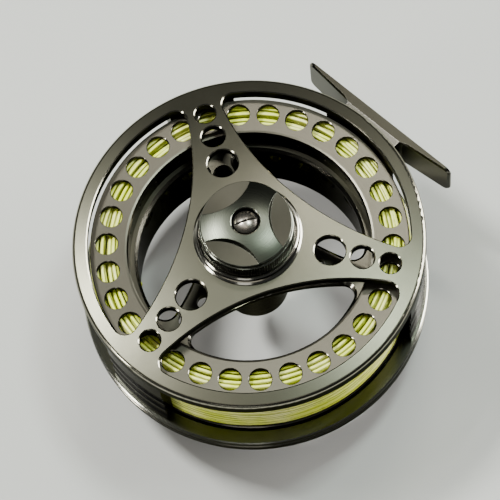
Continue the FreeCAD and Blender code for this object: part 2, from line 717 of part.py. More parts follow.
cut(b, drum_hole, 45, role="YZ_Plane", count=Q.drum_hole_count, axis="V_Axis", back=True, turn=Q.drum_hole_phase)


def partial_round(first):
    """Half of the front flange's holes: they leave out the handle and the weight opposite it."""
    a0 = math.radians(first)
    po = cut(b, lambda sk: circle(sk, Q.flange_hole_pos * math.cos(a0), Q.flange_hole_pos * math.sin(a0), Q.flange_hole - 0.35), 8, level=-Q.front_inner + 2.0)
    pat = b.newObject("PartDesign::PolarPattern", b.Name + "_round")
    pat.Originals = [po]
    pat.Axis = (po.Profile[0], ["N_Axis"])
    pat.Angle = 132.0
    pat.Occurrences = int(Q.face_hole_count.v)
    bind(pat, "Occurrences", Q.face_hole_count)
    b.Tip = pat
    doc.recompute()


partial_round(Q.handle_azimuth.v + 24.0)
partial_round(Q.handle_azimuth.v + 204.0)


def post_holes(sk):
    a = math.radians(Q.handle_azimuth.v)
    circle(sk, Q.handle_pos * math.cos(a), Q.handle_pos * math.sin(a), D(1.6))
    circle(sk, -Q.handle_pos * math.cos(a), -Q.handle_pos * math.sin(a), D(1.4))


cut(b, post_holes, 14, level=-Q.front_inner + 2.0)
place(b)

# ---------------------------------------------------------------- spool hub and what it holds
b = new_body("spool_hub")
hb = Q.hub_bore - 0.02
spun(b, [
    (9.0, -11.0), (hb - 0.3, -11.0), (hb, -11.3), (hb, -Q.ledge_back - Q.web_thick - 1.45), (hb + 1.2, -Q.ledge_back - Q.web_thick - 1.45),
    (hb + 1.2, -17.9), (hb, -18.1), (hb, -33.6), (hb - 0.5, -34.1), (8.2, -34.1), (8.2, -33.2), (6.5, -33.2), (6.5, -28.9), (5.6, -28.9),
    (5.6, -26.9), (6.5, -26.9), (6.5, -22.4), (9.0, -22.4)])
place(b)

b = new_body("one_way_clutch")
spun(b, [(6.32, -21.9), (8.98, -21.9), (8.98, -14.0), (6.32, -14.0), (6.32, -15.2), (6.9, -15.4), (6.9, -20.5), (6.32, -20.7)])
place(b)


def bearing(label, z_top):
    bb = new_body(label)
    spun(bb, [
        (3.54, z_top - 4.0), (4.4, z_top - 4.0), (4.5, z_top - 3.7), (5.6, z_top - 3.7), (5.7, z_top - 4.0), (6.48, z_top - 4.0),
        (6.48, z_top), (5.7, z_top), (5.6, z_top - 0.3), (4.5, z_top - 0.3), (4.4, z_top), (3.54, z_top)])
    place(bb)


bearing("rear_bearing", -22.5)
bearing("front_bearing", -29.0)

b = new_body("retaining_clip")
# spring clip that snaps into the spindle's groove
spun(b, [(2.5, -34.1), (8.1, -34.1), (8.1, -33.6), (2.5, -33.6)])
cut(b, lambda sk: outline(sk, [(0, -1.0), (9, -1.0), (9, 1.0), (0, 1.0)]), 2.0, level=-33.0)
place(b)

b = new_body("spool_cap")
spun(b, [
    (0, -38.3), (8.2, -38.3), (9.6, -37.9), (10.2, -37.2), (10.2, -34.15), (8.0, -34.15), (8.0, -36.0), (0, -36.0)])
cut(b, lambda sk: outline(sk, [(-12, -0.8), (12, -0.8), (12, 0.8), (-12, 0.8)]), 3.0, level=-37.4)
place(b)

# ---------------------------------------------------------------- line and backing
b = new_body("fly_line")
spun(b, [
    (Q.line_inner, -Q.line_front), (Q.line_outer - 1.2, -Q.line_front), (Q.line_outer, -Q.line_front + 1.2),
    (Q.line_outer, -Q.line_back - 1.2), (Q.line_outer - 1.2, -Q.line_back), (Q.line_inner, -Q.line_back)])
place(b)

b = new_body("line_backing")
spun(b, [
    (Q.drum_outer + 0.05, -Q.line_front), (Q.line_inner - 0.05, -Q.line_front), (Q.line_inner - 0.05, -Q.line_back - 0.2), (Q.drum_outer + 0.05, -Q.line_back - 0.2)])
place(b)

b = new_body("line_knot")
# the knotted end of the backing, against the inside of the drum
spun(b, [(0, -1.1), (0.5, -0.95), (0.8, -0.4), (0.8, 0.4), (0.5, 0.95), (0, 1.1)])
place(b, Q.knot_azimuth, x=Q.drum_inner - 0.9, z=-Q.knot_level)

# ---------------------------------------------------------------- handle
b = new_body("handle_post")
zf = -Q.face_level.v
spun(b, [
    (0, zf + 3.4), (1.55, zf + 3.4), (1.55, zf - 0.02), (3.6, zf - 0.02), (3.6, zf - 1.2), (Q.post_rad, zf - 1.4), (Q.post_rad, zf - 1.6 - 21.5),
    (1.0, zf - 1.6 - 21.5), (1.0, zf - 15.0), (0, zf - 14.4)])
place(b, Q.handle_azimuth, x=Q.handle_pos)

b = new_body("handle_grip")
z0 = zf - 1.7
spun(b, [
    (Q.grip_bore, z0), (4.6, z0), (5.3, z0 - 0.6), (5.5, z0 - 2.2), (4.9, z0 - 5.5), (4.7, z0 - 9.0), (5.2, z0 - 14.0),
    (6.3, z0 - 18.0), (6.5, z0 - 19.6), (6.0, z0 - 20.7), (5.0, z0 - 21.0), (3.7, z0 - 21.0), (3.7, z0 - 19.6), (Q.grip_bore, z0 - 19.6)])
place(b, Q.handle_azimuth, x=Q.handle_pos)

b = new_body("handle_screw")
spun(b, [
    (0, zf - 16.0), (0.98, zf - 16.0), (0.98, zf - 23.12), (3.3, zf - 23.12), (3.4, zf - 23.3), (3.4, zf - 24.1, 6.0, -1), (0, zf - 25.0)])
cut(b, lambda sk: outline(sk, [(-5, -0.35), (5, -0.35), (5, 0.35), (-5, 0.35)]), 3.0, level=D(zf - 24.3), back=False)
place(b, Q.handle_azimuth, x=Q.handle_pos)

# ---------------------------------------------------------------- balance weight opposite the handle
b = new_body("counterweight")
spun(b, [(0, zf - 3.0), (3.6, zf - 3.0), (4.5, zf - 2.2), (4.5, zf - 0.02), (1.38, zf - 0.02), (1.38, zf + 3.4), (0, zf + 3.4)])
place(b, Q.handle_azimuth + 180.0, x=Q.handle_pos)

# ---------------------------------------------------------------- click mechanism
b = new_body("click_ratchet")
spun(b, [(Q.hub_bore + 0.05, -11.15), (Q.ratchet_rad, -11.15), (Q.ratchet_rad, -9.85), (Q.hub_bore + 0.05, -9.85)])


def tooth_gap(sk):
    outline(sk, [(Q.ratchet_rad - 1.0, 0), (Q.ratchet_rad + 0.4, -0.95), (Q.ratchet_rad + 0.4, 0.95)])


cut(b, tooth_gap, 3, level=-9.0, count=Q.ratchet_count)
place(b)

pawl_az = 30.0
b = new_body("pawl_post")
# shoulder post under the back plate's hub; the pawl swings on it
spun(b, [(0, -11.0), (1.9, -11.0), (1.9, -10.7), (1.2, -10.7), (1.2, -9.8), (1.7, -9.8), (1.7, 0.9), (0, 0.9)])
place(b, pawl_az, x=Q.pawl_pos, y=Q.pawl_side)

b = new_body("click_pawl")


def pawl_plan(sk):
    # drawn with the post at the middle: the eye on the post and a narrow nose that
    # rests in a gap of the ratchet
    px, py = Q.pawl_pos, Q.pawl_side
    outline(sk, [
        (2.1, 0, 2.14, 1), (-2.1, 0), (14.75 - px, 3.2 - py), (15.1 - px, 0.75 - py), (13.8 - px, 0.1 - py),
        (13.8 - px, -0.1 - py), (15.1 - px, -0.75 - py), (16.9 - px, -0.9 - py), (17.7 - px, 4.0 - py)])


padded(b, pawl_plan, 0.8, level=-10.65)
cut(b, lambda sk: circle(sk, 0, 0, 1.26), 4, level=-9.0)
place(b, pawl_az, x=Q.pawl_pos, y=Q.pawl_side)

b = new_body("click_spring")
# torsion spring round the post, above the pawl: its coil and the leg that presses the pawl
spun(b, [(1.78, -9.75), (2.3, -9.75), (2.3, -8.75), (1.78, -8.75)])
padded(b, lambda sk: outline(sk, [(-1.9, -0.9), (-1.3, -1.6), (0.6, -6.3), (0.2, -6.5), (-2.0, -1.6)]), 0.45, level=-9.75)
place(b, pawl_az, x=Q.pawl_pos, y=Q.pawl_side)

# ---------------------------------------------------------------- screws as groups
def hexagon(sk, x, y, rad):
    pts = [(x + rad * math.cos(math.radians(60 * k + 15)), y + rad * math.sin(math.radians(60 * k + 15))) for k in range(6)]
    outline(sk, pts)


def screws(label, spots, head_rad, head_low, head_top, shank_rad, shank_low, socket_rad):
    """Identical socket screws standing along z, as one group of separate solids; a head
    below its shank is one driven from the -z side."""
    bb = new_body(label)
    bb.AllowCompound = True
    lo, hi = min(shank_low, head_top), max(shank_low, head_low)
    if shank_low < head_low:
        padded(bb, lambda sk: [circle(sk, x, y, D(shank_rad)) for x, y in spots], head_low - shank_low + 0.2, level=shank_low)
        padded(bb, lambda sk: [circle(sk, x, y, D(head_rad)) for x, y in spots], head_top - head_low, level=head_low)
        cut(bb, lambda sk: [hexagon(sk, x, y, socket_rad) for x, y in spots], (head_top - head_low) * 0.6, level=head_top)
    else:
        padded(bb, lambda sk: [circle(sk, x, y, D(shank_rad)) for x, y in spots], shank_low - head_top + 0.2, level=head_top - 0.2)
        padded(bb, lambda sk: [circle(sk, x, y, D(head_rad)) for x, y in spots], head_top - head_low, level=head_low)
        cut(bb, lambda sk: [hexagon(sk, x, y, socket_rad) for x, y in spots], (head_top - head_low) * 0.6, level=head_low, back=True)
    return bb


def ring_of(rad, azimuths):
    return [(rad * math.cos(math.radians(a)), rad * math.sin(math.radians(a))) for a in azimuths]


RING_SCREWS = (24.0, 36.0, 144.0, 156.0, 264.0, 276.0, 82.0, 98.0)
b = screws("frame_screws", ring_of(50.3, RING_SCREWS), 1.3, -34.3, -33.4, 0.8, -28.6, 0.7)
place(b)
b = screws("housing_screws", ring_of(14.8, (90.0, 210.0, 330.0)), 1.1, -3.0, -2.02, 0.7, 1.9, 0.55)
place(b)
b = screws("foot_screws", [(6.2, 0.0), (-6.2, 0.0)], 2.45, -1.38, -0.25, 1.2, -7.4, 1.2)
b.Placement = FreeCAD.Placement(V(0, 0, 0), FreeCAD.Rotation(V(1, 0, 0), -90))

doc.recompute()
bad = []
for o in doc.Objects:
    st = [x for x in o.State if x in ("Invalid", "Error")]
    if st:
        bad.append((o.Name, st))
for o in SUBPARTS:
    if o.Shape.isNull() or not o.Shape.isValid() or not o.Shape.Solids:
        bad.append((o.Label, "shape", o.Shape.isNull(), (not o.Shape.isNull()) and o.Shape.isValid()))
if bad:
    raise RuntimeError("failed: %s" % bad)
os.makedirs("parts", exist_ok=True)
for o in SUBPARTS:
    o.Shape.exportStep("parts/%s.step" % o.Label)
    bbx = o.Shape.BoundBox
    print("%-22s solids %d faces %4d vol %9.1f  x %.2f %.2f y %.2f %.2f z %.2f %.2f" % (
        o.Label, len(o.Shape.Solids), len(o.Shape.Faces), o.Shape.Volume, bbx.XMin, bbx.XMax, bbx.YMin, bbx.YMax, bbx.ZMin, bbx.ZMax))
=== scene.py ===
import math
import random

import bpy
from mathutils import Matrix, Vector


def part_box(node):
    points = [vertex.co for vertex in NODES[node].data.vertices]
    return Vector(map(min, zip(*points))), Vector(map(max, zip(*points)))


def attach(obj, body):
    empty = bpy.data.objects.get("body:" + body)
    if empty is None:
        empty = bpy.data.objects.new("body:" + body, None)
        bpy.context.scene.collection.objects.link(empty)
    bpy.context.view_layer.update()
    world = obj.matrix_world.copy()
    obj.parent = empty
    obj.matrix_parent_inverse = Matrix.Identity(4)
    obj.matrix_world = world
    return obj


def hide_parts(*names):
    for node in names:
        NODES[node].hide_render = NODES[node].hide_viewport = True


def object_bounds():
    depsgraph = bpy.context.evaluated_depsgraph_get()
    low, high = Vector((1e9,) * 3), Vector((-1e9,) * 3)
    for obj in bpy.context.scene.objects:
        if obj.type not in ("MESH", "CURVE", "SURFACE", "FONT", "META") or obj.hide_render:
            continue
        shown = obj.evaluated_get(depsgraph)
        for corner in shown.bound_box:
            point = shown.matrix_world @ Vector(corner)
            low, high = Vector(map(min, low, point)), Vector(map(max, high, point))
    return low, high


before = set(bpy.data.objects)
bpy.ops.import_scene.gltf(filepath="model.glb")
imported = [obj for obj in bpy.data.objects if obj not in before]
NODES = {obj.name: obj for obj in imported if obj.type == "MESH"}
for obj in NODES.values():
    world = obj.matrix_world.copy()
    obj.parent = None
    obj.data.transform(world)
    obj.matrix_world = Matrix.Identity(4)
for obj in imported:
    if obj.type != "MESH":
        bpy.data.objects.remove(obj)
CAD_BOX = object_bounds()
scene = bpy.context.scene

# The spool axis: it stands along +Z and passes through these x, y; AZ is the level
# of the back plate's outer edge, from which every height on the reel is counted.
plate_lo, plate_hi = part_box("frame_back_plate")
AX = 0.0
AY = (plate_lo.y + plate_hi.y) / 2
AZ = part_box("drag_housing")[1].z
MM = 0.001

# ------------------------------------------------------------------ camera
# 189.5 mm lens, about 0.81 m from the reel; it looks down on the drag side.
cam_data = bpy.data.cameras.new("camera")
cam_data.lens = 189.483
cam_data.sensor_width = 36.0
cam_data.clip_start = 0.01
cam_data.clip_end = 50.0
camera = bpy.data.objects.new("camera", cam_data)
scene.collection.objects.link(camera)
CX = Vector((0.7386249, 0.6713548, -0.0609586))
CY = Vector((-0.606292, 0.7011189, 0.3752897))
CZ = Vector((0.2946918, -0.2402396, 0.9249009))
CP = Vector((0.231436, -0.247541, 0.733916))
camera.matrix_world = Matrix((
    (CX.x, CY.x, CZ.x, CP.x),
    (CX.y, CY.y, CZ.y, CP.y),
    (CX.z, CY.z, CZ.z, CP.z),
    (0, 0, 0, 1)))
scene.camera = camera


# ------------------------------------------------------------------ small shader kit
class Tree:
    """Builds one procedural material."""

    def __init__(self, name):
        self.mat = bpy.data.materials.new(name)
        self.mat.use_nodes = True
        self.t = self.mat.node_tree
        self.t.nodes.clear()
        self.out = self.t.nodes.new("ShaderNodeOutputMaterial")
        self.bsdf = self.t.nodes.new("ShaderNodeBsdfPrincipled")
        self.t.links.new(self.bsdf.outputs[0], self.out.inputs[0])
        tc = self.t.nodes.new("ShaderNodeTexCoord")
        self.obj = tc.outputs["Object"]
        self._polar = None

    def put(self, socket, value):
        if isinstance(value, bpy.types.NodeSocket):
            self.t.links.new(value, socket)
        elif value is not None:
            socket.default_value = value

    def math(self, op, a, b=None, c=None, clamp=False):
        n = self.t.nodes.new("ShaderNodeMath")
        n.operation = op
        n.use_clamp = clamp
        self.put(n.inputs[0], a)
        self.put(n.inputs[1], b)
        if c is not None:
            self.put(n.inputs[2], c)
        return n.outputs[0]

    def polar(self):
        """(distance from the spool axis, turn about it in radians, height over the plate's edge), in metres."""
        if self._polar is None:
            sep = self.t.nodes.new("ShaderNodeSeparateXYZ")
            self.put(sep.inputs[0], self.obj)
            x, z = sep.outputs[0], self.math("SUBTRACT", sep.outputs[2], AZ)
            y = self.math("SUBTRACT", sep.outputs[1], AY)
            r = self.math("SQRT", self.math("ADD", self.math("MULTIPLY", x, x), self.math("MULTIPLY", y, y)))
            self._polar = (r, self.math("ARCTAN2", y, x), z)
        return self._polar

    def noise(self, scale, detail=2.0, rough=0.5, vector=None, w=None, dist=0.0):
        n = self.t.nodes.new("ShaderNodeTexNoise")
        if w is not None:
            n.noise_dimensions = "1D"
            self.put(n.inputs["W"], w)
        else:
            self.put(n.inputs["Vector"], vector or self.obj)
        self.put(n.inputs["Scale"], scale)
        self.put(n.inputs["Detail"], detail)
        self.put(n.inputs["Roughness"], rough)
        self.put(n.inputs["Distortion"], dist)
        return n.outputs[0]

    def voronoi(self, scale, vector=None, feature="F1"):
        n = self.t.nodes.new("ShaderNodeTexVoronoi")
        n.feature = feature
        self.put(n.inputs["Vector"], vector or self.obj)
        self.put(n.inputs["Scale"], scale)
        return n.outputs[0]

    def ramp(self, fac, lo, hi, a=0.0, b=1.0, smooth=True):
        """fac from lo to hi becomes a to b."""
        n = self.t.nodes.new("ShaderNodeMapRange")
        n.interpolation_type = "SMOOTHSTEP" if smooth else "LINEAR"
        self.put(n.inputs[0], fac)
        for i, v in zip((1, 2, 3, 4), (lo, hi, a, b)):
            self.put(n.inputs[i], v)
        return n.outputs[0]

    def mix(self, fac, a, b, blend="MIX"):
        n = self.t.nodes.new("ShaderNodeMix")
        n.data_type = "RGBA"
        n.blend_type = blend
        self.put(n.inputs[0], fac)
        for i, v in ((6, a), (7, b)):
            self.put(n.inputs[i], (*v, 1.0) if isinstance(v, tuple) and len(v) == 3 else v)
        return n.outputs[2]

    def lift(self):
        """How far the surface faces up or down: 0 on a wall, 1 on a level face."""
        g = self.t.nodes.new("ShaderNodeNewGeometry")
        sep = self.t.nodes.new("ShaderNodeSeparateXYZ")
        self.put(sep.inputs[0], g.outputs["Normal"])
        return sep.outputs[2]

    def edge(self, size):
        """1 along worn or polished edges of about that size, 0 elsewhere."""
        g = self.t.nodes.new("ShaderNodeNewGeometry")
        bev = self.t.nodes.new("ShaderNodeBevel")
        bev.samples = 4
        self.put(bev.inputs["Radius"], size)
        dot = self.t.nodes.new("ShaderNodeVectorMath")
        dot.operation = "DOT_PRODUCT"
        self.put(dot.inputs[0], g.outputs["Normal"])
        self.put(dot.inputs[1], bev.outputs[0])
        return self.ramp(dot.outputs["Value"], 0.985, 0.86, 0.0, 1.0)

    def bump(self, height, distance, strength=1.0, after=None):
        n = self.t.nodes.new("ShaderNodeBump")
        self.put(n.inputs["Height"], height)
        self.put(n.inputs["Distance"], distance)
        self.put(n.inputs["Strength"], strength)
        if after is not None:
            self.put(n.inputs["Normal"], after)
        return n.outputs[0]

    def finish(self, color, rough, metallic=0.0, normal=None, **constant):
        b = self.bsdf.inputs
        self.put(b["Base Color"], (*color, 1.0) if isinstance(color, tuple) and len(color) == 3 else color)
        self.put(b["Roughness"], rough)
        self.put(b["Metallic"], metallic)
        if normal is not None:
            self.put(b["Normal"], normal)
        for k, v in constant.items():
            b[k.replace("_", " ")].default_value = v
        return self.mat


def satin(name, color, rough=0.36, turned=0.0, aniso=0.0, dark_upright_shade=None, grain=1.0, pitch=2600.0, upright_shade=0.55, chamfer=1.6,
          pocket_shade=None, blasted=None, graze=0.40, soft=0.0):
    """Bead-blasted or fine-turned anodised aluminium with polished edges.
    turned: depth of the tool's rings about the spool axis, in millimetres.
    wall: painted shade, how far the upright cut walls are darkened towards black beside the level faces.
    dark_upright_shade: (inner, outer) radii in metres between which the upright walls are painted black, a painted
    shade.
    pocket: (radius, level) in metres of a recess on the axis that is painted dark, a painted shade.
    blasted: (level, colour, roughness) of sunk level faces with a coarser finish.
    graze: reflectance at a grazing angle.
    soft: radius in metres of the broken edges, shaded as rounded."""
    t = Tree(name)
    r, a, z = t.polar()
    cloud = t.noise(48.0, 3.0, 0.55)
    blot = t.noise(420.0, 3.0, 0.6)
    speck = t.noise(4300.0, 2.0, 0.65)
    col = t.mix(cloud, tuple(c * 0.93 for c in color), tuple(min(1.0, c * 1.07) for c in color))
    col = t.mix(t.ramp(blot, 0.40, 0.75, 0.0, 0.10), col, tuple(c * 0.72 for c in color))
    col = t.mix(t.ramp(speck, 0.42, 0.80, 0.0, 0.28 * grain), col, tuple(c * 0.5 for c in color))
    rgh = t.math("ADD", rough - 0.05, t.math("MULTIPLY", cloud, 0.05))
    rgh = t.math("ADD", rgh, t.math("MULTIPLY", speck, 0.07 * grain))
    up = t.math("ABSOLUTE", t.lift())
    broken = None
    if soft:
        bev = t.t.nodes.new("ShaderNodeBevel")
        bev.samples = 6
        t.put(bev.inputs["Radius"], soft)
        broken = bev.outputs[0]
    nrm = t.bump(speck, 0.000010 * grain, 0.5, after=broken)
    if turned:
        rings = t.noise(pitch, 3.0, 0.7, w=r)
        nrm = t.bump(rings, turned * MM, 0.8, after=nrm)
        col = t.mix(t.ramp(rings, 0.40, 0.70, 0.0, 0.16), col, tuple(c * 0.6 for c in color))
        rgh = t.math("ADD", rgh, t.math("MULTIPLY", t.math("SUBTRACT", rings, 0.5), 0.10))
    if blasted:
        m = t.math("MULTIPLY", t.ramp(up, 0.93, 0.97), t.ramp(z, blasted[0] + 0.00015, blasted[0]))
        col = t.mix(m, col, t.mix(blot, tuple(c * 0.9 for c in blasted[1]), tuple(c * 1.1 for c in blasted[1])))
        rgh = t.math("ADD", rgh, t.math("MULTIPLY", m, blasted[2] - rough))
    # painted shade: the upright cut walls are darkened towards black by the amount wall
    m = t.ramp(up, 0.5, 0.2)
    col = t.mix(t.math("MULTIPLY", m, upright_shade), col, (0.02, 0.02, 0.019))
    if chamfer:
        # cut faces between level and upright are diamond-turned and stay bright
        m = t.math("MULTIPLY", t.ramp(up, 0.30, 0.42), t.ramp(up, 0.955, 0.90))
        col = t.mix(m, col, tuple(min(0.9, c * chamfer + 0.04) for c in color))
        rgh = t.math("ADD", rgh, t.math("MULTIPLY", m, 0.15 - rough))
    e = t.edge(0.00020)
    col = t.mix(t.math("MULTIPLY", e, 0.5), col, tuple(min(0.9, c * 1.5 + 0.04) for c in color))
    rgh = t.math("ADD", rgh, t.math("MULTIPLY", e, -0.08))
    # painted shade: the upright walls between the dark_upright_shade radii are painted near-black
    if dark_upright_shade:
        m = t.math("MULTIPLY", t.ramp(up, 0.6, 0.35), t.math("MULTIPLY", t.ramp(r, dark_upright_shade[0] - 0.0004, dark_upright_shade[0]), t.ramp(r, dark_upright_shade[1] + 0.0004, dark_upright_shade[1])))
        col = t.mix(m, col, (0.012, 0.012, 0.013))
        rgh = t.math("ADD", rgh, t.math("MULTIPLY", m, -0.10))
    # painted shade: the recess on the axis, inside the pocket radius and below its level, is painted near-black
    if pocket_shade:
        m = t.math("MULTIPLY", t.ramp(r, pocket_shade[0] + 0.00005, pocket_shade[0] - 0.00005), t.ramp(z, pocket_shade[1] + 0.00005, pocket_shade[1] - 0.00005))
        col = t.mix(m, col, (0.010, 0.010, 0.010))
        rgh = t.math("ADD", rgh, t.math("MULTIPLY", m, 0.3))
    mat = t.finish(col, t.math("MAXIMUM", rgh, 0.08), 1.0, nrm, Specular_Tint=(graze, graze, graze * 0.95, 1.0))
    t.bsdf.inputs["Anisotropic"].default_value = aniso
    return mat


def bright_steel(name, color, rough=0.2, slot_shade=None):
    """Turned stainless. slot: levels in metres between which a recess is painted dark, a painted shade."""
    t = Tree(name)
    streak = t.noise(2400.0, 2.0, 0.6)
    cloud = t.noise(160.0, 3.0, 0.6)
    col = t.mix(t.ramp(cloud, 0.3, 0.7), tuple(c * 0.86 for c in color), color)
    rgh = t.math("ADD", rough - 0.04, t.math("MULTIPLY", streak, 0.10))
    nrm = t.bump(streak, 0.000008, 0.5)
    e = t.edge(0.00015)
    col = t.mix(t.math("MULTIPLY", e, 0.5), col, tuple(min(1.0, c * 1.25) for c in color))
    # painted shade: the recess between the slot levels is painted near-black
    if slot_shade:
        r, a, z = t.polar()
        m = t.math("MULTIPLY", t.ramp(z, slot_shade[0], slot_shade[0] + 0.0001), t.ramp(z, slot_shade[1] + 0.0001, slot_shade[1]))
        col = t.mix(m, col, (0.035, 0.032, 0.029))
        rgh = t.math("ADD", rgh, t.math("MULTIPLY", m, 0.25))
    return t.finish(col, rgh, 1.0, nrm)


def dark_metal(name, color, rough=0.32):
    t = Tree(name)
    speck = t.noise(3600.0, 2.0, 0.6)
    cloud = t.noise(120.0, 3.0, 0.5)
    col = t.mix(cloud, tuple(c * 0.75 for c in color), tuple(c * 1.3 for c in color))
    e = t.edge(0.0002)
    col = t.mix(t.math("MULTIPLY", e, 0.5), col, (0.30, 0.29, 0.27))
    rgh = t.math("ADD", rough - 0.05, t.math("MULTIPLY", speck, 0.12))
    return t.finish(col, rgh, 0.85, t.bump(speck, 0.00001, 0.5))


def plastic_black(name):
    """Turned acetal: faint rings from the lathe, slightly worn where fingers hold it."""
    t = Tree(name)
    sep = t.t.nodes.new("ShaderNodeSeparateXYZ")
    t.put(sep.inputs[0], t.obj)
    rings = t.noise(2300.0, 3.0, 0.7, w=sep.outputs[2])
    cloud = t.noise(220.0, 3.0, 0.6)
    col = t.mix(cloud, (0.012, 0.012, 0.013), (0.032, 0.031, 0.030))
    e = t.edge(0.0004)
    col = t.mix(t.math("MULTIPLY", e, 0.5), col, (0.07, 0.068, 0.064))
    rgh = t.math("ADD", 0.38, t.math("MULTIPLY", cloud, 0.16))
    return t.finish(col, rgh, 0.0, t.bump(rings, 0.00003, 0.8), Specular_IOR_Level=0.5)


def rubber(name):
    t = Tree(name)
    speck = t.noise(1800.0, 3.0, 0.6)
    col = t.mix(speck, (0.014, 0.014, 0.014), (0.034, 0.034, 0.034))
    return t.finish(col, t.math("ADD", 0.58, t.math("MULTIPLY", speck, 0.2)), 0.0, t.bump(speck, 0.00003, 0.6))


def carbon(name):
    """Woven carbon friction disc: two sets of strands at right angles."""
    t = Tree(name)
    sep = t.t.nodes.new("ShaderNodeSeparateXYZ")
    t.put(sep.inputs[0], t.obj)
    pitch = math.pi / 0.0011
    wx = t.math("SINE", t.math("MULTIPLY", sep.outputs[0], pitch))
    wy = t.math("SINE", t.math("MULTIPLY", sep.outputs[1], pitch))
    weave = t.math("MULTIPLY", wx, wy)
    thread = t.noise(9000.0, 2.0, 0.6)
    col = t.mix(t.ramp(weave, -0.2, 0.2), (0.010, 0.010, 0.011), (0.055, 0.056, 0.060))
    col = t.mix(t.math("MULTIPLY", thread, 0.4), col, (0.02, 0.02, 0.02))
    return t.finish(col, t.math("ADD", 0.34, t.math("MULTIPLY", thread, 0.2)), 0.0, t.bump(t.math("ABSOLUTE", weave), 0.00004, 0.7))


def coated_line(name, light, deep, dirt):
    """Waxy coated fly line: even colour, faint bands along it, a little grime in patches, painted shade in the grooves
    between the strands.
    """
    t = Tree(name)
    r, a, z = t.polar()
    band = t.noise(420.0, 2.0, 0.6)
    along = t.noise(95.0, 2.0, 0.5)
    tiny = t.noise(5200.0, 2.0, 0.6)
    col = t.mix(t.ramp(along, 0.36, 0.70), deep, light)
    col = t.mix(t.ramp(band, 0.52, 0.80, 0.0, 0.45), col, dirt)
    # every strand is a little different: the layers and turns change shade
    strand = t.noise(760.0, 1.0, 0.5, w=t.math("ADD", t.math("MULTIPLY", r, 1.0), t.math("MULTIPLY", z, 0.72)))
    col = t.mix(t.ramp(strand, 0.35, 0.7, 0.0, 0.30), col, tuple(min(1.0, c * 1.1 + 0.03) for c in light))
    # painted shade: faces turned into the grooves between the strands are darkened
    g = t.t.nodes.new("ShaderNodeNewGeometry")
    sep = t.t.nodes.new("ShaderNodeSeparateXYZ")
    t.put(sep.inputs[0], g.outputs["Normal"])
    pos = t.t.nodes.new("ShaderNodeSeparateXYZ")
    t.put(pos.inputs[0], t.obj)
    out = t.math("ADD", t.math("MULTIPLY", sep.outputs[0], t.math("DIVIDE", pos.outputs[0], r)),
                 t.math("MULTIPLY", sep.outputs[1], t.math("DIVIDE", t.math("SUBTRACT", pos.outputs[1], AY), r)))
    crest = t.math("MAXIMUM", t.math("ABSOLUTE", sep.outputs[2]), out)
    col = t.mix(t.ramp(crest, 0.90, 0.66, 0.0, 0.90), col, tuple(c * 0.22 for c in deep))
    rgh = t.math("ADD", 0.34, t.math("MULTIPLY", tiny, 0.16))
    return t.finish(col, rgh, 0.0, t.bump(tiny, 0.000015, 0.6), Subsurface_Weight=0.12,
                    Subsurface_Radius=(0.0012, 0.0012, 0.0004), Subsurface_Scale=0.6, Coat_Weight=0.16, Coat_Roughness=0.26)


def braid(name, light, deep):
    """Braided backing: crossing fibres about a quarter of a millimetre apart."""
    t = Tree(name)
    r, a, z = t.polar()
    turn = t.math("MULTIPLY", a, 0.0386)
    u = t.math("MULTIPLY", t.math("ADD", turn, z), math.pi / 0.00032)
    v = t.math("MULTIPLY", t.math("SUBTRACT", turn, z), math.pi / 0.00032)
    weave = t.math("MULTIPLY", t.math("SINE", u), t.math("SINE", v))
    fuzz = t.noise(6000.0, 3.0, 0.7)
    cloud = t.noise(260.0, 2.0, 0.5)
    col = t.mix(t.ramp(weave, -0.6, 0.6), deep, light)
    col = t.mix(t.math("MULTIPLY", cloud, 0.35), col, deep)
    return t.finish(col, t.math("ADD", 0.62, t.math("MULTIPLY", fuzz, 0.2)), 0.0,
                    t.bump(t.math("ADD", weave, fuzz), 0.00005, 0.8), Sheen_Weight=0.3, Sheen_Roughness=0.5)


